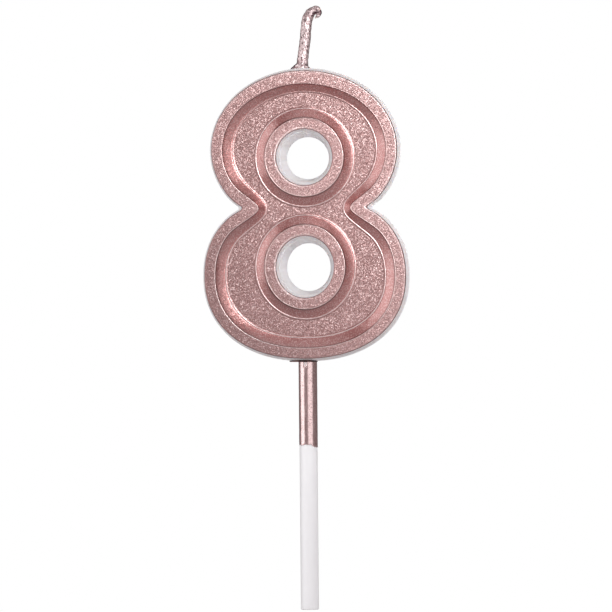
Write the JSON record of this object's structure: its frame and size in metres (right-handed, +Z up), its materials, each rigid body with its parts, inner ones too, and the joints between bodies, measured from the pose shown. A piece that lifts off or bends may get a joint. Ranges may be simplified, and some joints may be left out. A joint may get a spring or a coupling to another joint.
{
  "type": "number birthday candle",
  "caption": "Figure eight candle of moulded wax with a glittering metallic face, a short lacquered wick on top and a plastic pick below for pushing into a cake.",
  "frame": {"origin": "on the pick's axis, 25 mm above its tip, where the top of the cake meets the pick", "axes": "+Z up along the pick, face looks along -Y, +X to the right of someone who looks at the face"},
  "size_m": [0.0344, 0.008, 0.1006],
  "materials": {
    "wax": "white paraffin wax, softly translucent with a dull sheen",
    "face_lacquer": "rose-gold metallic lacquer, fine glitter on the flats and satin on the slopes",
    "wick_cotton": "waxed cotton strands",
    "wick_coat": "crinkled glossy rose-gold lacquer over wax",
    "pick_plastic": "white moulded plastic with a soft gloss",
    "pick_lacquer": "glossy rose-gold metallic lacquer, uneven at its lower end"
  },
  "bodies": {
    "root": {"wax_body": "wax", "face_lacquer": "face_lacquer", "wick_strand_1": "wick_cotton", "wick_strand_2": "wick_cotton", "wick_strand_3": "wick_cotton", "wick_coat": "wick_coat", "pick_rod": "pick_plastic", "pick_lacquer": "pick_lacquer"}
  },
  "joints": []
}
